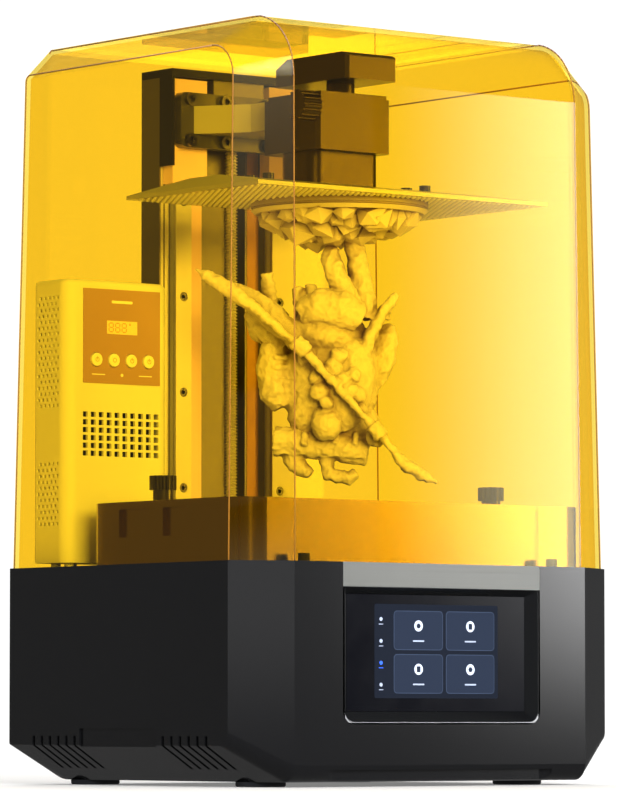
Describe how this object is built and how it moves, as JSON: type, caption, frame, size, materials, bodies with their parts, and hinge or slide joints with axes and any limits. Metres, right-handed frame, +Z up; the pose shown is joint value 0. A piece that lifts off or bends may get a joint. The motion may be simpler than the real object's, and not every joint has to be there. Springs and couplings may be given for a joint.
{
  "type": "resin 3d printer",
  "caption": "Desktop resin 3D printer with a faceted amber cover, a touch screen, a raised build platform with a hung print and a small air purifier inside.",
  "frame": {"origin": "middle of the footprint on the surface the printer stands on", "axes": "+X is the right side seen from the front, -Y the front with the screen, +Z up"},
  "size_m": [0.295, 0.257, 0.459],
  "materials": {
    "case": "satin charcoal",
    "case_metal": "grey sheet",
    "foot": "black",
    "deck": "satin black",
    "dark_metal": "satin black",
    "bezel": "satin dark grey",
    "badge": "brushed silver",
    "screen_glass": "black glass",
    "board_metal": "bare sheet",
    "lcd": "dark film",
    "inner_plastic": "black",
    "lens": "clear",
    "board": "green laminate",
    "sink": "bare",
    "fan": "black",
    "dark_aluminium": "dark anodised",
    "rail_steel": "ground",
    "screw_steel": "blackened",
    "block_metal": "ground",
    "carriage_metal": "dark anodised",
    "nut_brass": "turned",
    "arm_metal": "bead blasted",
    "head_metal": "dark anodised",
    "plate_metal": "dimpled",
    "vat_metal": "dark anodised",
    "film": "clear film",
    "white_plastic": "white",
    "fascia": "dull orange",
    "digits": "lit",
    "button": "cream",
    "filter": "carbon",
    "amber": "amber, clear",
    "print_resin": "beige resin"
  },
  "bodies": {
    "base": {"base_shell": "case", "floor_plate": "case_metal", "rubber_feet": "foot", "deck_plate": "deck", "cover_locators": "dark_metal", "screen_bezel": "bezel", "front_badge": "badge", "touch_glass": "screen_glass", "display_module": "board_metal", "lcd_panel": "lcd", "light_housing": "inner_plastic", "fresnel_lens": "lens", "led_board": "board", "heatsink": "sink", "light_fan_frame": "fan", "mainboard": "board", "power_supply": "case_metal", "power_inlet": "fan", "usb_port": "board_metal", "tower": "dark_aluminium", "tower_hood": "dark_metal", "top_bearing": "dark_aluminium", "home_sensor": "inner_plastic", "linear_rails": "rail_steel", "rail_screws": "screw_steel", "z_motor": "dark_metal", "purifier_shell": "white_plastic", "purifier_back": "white_plastic", "purifier_fascia": "fascia", "purifier_display": "digits", "purifier_fan_frame": "fan", "carbon_filter": "filter"},
    "z_carriage": {"guide_blocks": "block_metal", "carriage_plate": "carriage_metal", "carriage_screws": "screw_steel", "lead_nut": "nut_brass", "arm": "arm_metal"},
    "platform": {"head_block": "head_metal", "clamp_plate": "head_metal", "ball_neck": "head_metal", "build_plate": "plate_metal", "plate_screws": "screw_steel", "sample_print": "print_resin"},
    "lever": {"clamp_lever": "head_metal"},
    "knob": {"side_knob": "head_metal"},
    "vat": {"vat_body": "vat_metal", "film_frame": "vat_metal", "release_film": "film"},
    "screw_l": {"thumb_screw_left": "screw_steel"},
    "screw_r": {"thumb_screw_right": "screw_steel"},
    "cover": {"cover_shell": "amber"},
    "lead": {"lead_screw": "rail_steel"},
    "rocker": {"power_rocker": "fan"},
    "light_fan": {"light_fan_rotor": "fan"},
    "air_fan": {"purifier_fan_rotor": "fan"},
    "b_heat": {"button_heat": "button"},
    "b_timer": {"button_timer": "button"},
    "b_speed": {"button_speed": "button"},
    "b_power": {"button_power": "button"}
  },
  "joints": [
    {"name": "cover_lift", "type": "slide", "parent": "base", "child": "cover", "axis": [0, 0, 1], "range_m": [0, 0.33]},
    {"name": "z_travel", "type": "slide", "parent": "base", "child": "z_carriage", "axis": [0, 0, 1], "range_m": [-0.2215, 0], "deforming": ["sample_print"]},
    {"name": "lead_screw_spin", "type": "hinge", "parent": "base", "child": "lead", "pos_m": [0, 0.079, 0.27], "axis": [0, 0, 1], "continuous": true},
    {"name": "platform_slide", "type": "slide", "parent": "z_carriage", "child": "platform", "axis": [0, -1, 0], "range_m": [0, 0.02]},
    {"name": "clamp_turn", "type": "hinge", "parent": "platform", "child": "lever", "pos_m": [0, -0.031, 0.44], "axis": [0, 0, 1], "range_deg": [0, 90]},
    {"name": "side_knob_turn", "type": "hinge", "parent": "platform", "child": "knob", "pos_m": [-0.036, -0.041, 0.415], "axis": [-1, 0, 0], "range_deg": [0, 360]},
    {"name": "vat_lift", "type": "slide", "parent": "base", "child": "vat", "axis": [0, 0, 1], "range_m": [0, 0.012]},
    {"name": "thumb_left_turn", "type": "hinge", "parent": "vat", "child": "screw_l", "pos_m": [-0.1295, -0.0215, 0.18], "axis": [0, 0, 1], "range_deg": [0, 720]},
    {"name": "thumb_right_turn", "type": "hinge", "parent": "vat", "child": "screw_r", "pos_m": [0.1295, -0.0215, 0.18], "axis": [0, 0, 1], "range_deg": [0, 720]},
    {"name": "rocker_tilt", "type": "hinge", "parent": "base", "child": "rocker", "pos_m": [0.101, 0.122, 0.051], "axis": [1, 0, 0], "range_deg": [0, 12]},
    {"name": "light_fan_spin", "type": "hinge", "parent": "base", "child": "light_fan", "pos_m": [0, -0.0288, 0.018], "axis": [0, 0, 1], "continuous": true},
    {"name": "air_fan_spin", "type": "hinge", "parent": "base", "child": "air_fan", "pos_m": [-0.096, 0.078, 0.2157], "axis": [0, 1, 0], "continuous": true},
    {"name": "press_heat", "type": "slide", "parent": "base", "child": "b_heat", "axis": [0, 1, 0], "range_m": [0, 0.0006], "stiffness_N_per_m": 600},
    {"name": "press_timer", "type": "slide", "parent": "base", "child": "b_timer", "axis": [0, 1, 0], "range_m": [0, 0.0006], "stiffness_N_per_m": 600},
    {"name": "press_speed", "type": "slide", "parent": "base", "child": "b_speed", "axis": [0, 1, 0], "range_m": [0, 0.0006], "stiffness_N_per_m": 600},
    {"name": "press_power", "type": "slide", "parent": "base", "child": "b_power", "axis": [0, 1, 0], "range_m": [0, 0.0006], "stiffness_N_per_m": 600}
  ],
  "couplings": [
    {"joint": "lead_screw_spin", "follows": "z_travel", "rad_per_m": 785.4}
  ]
}
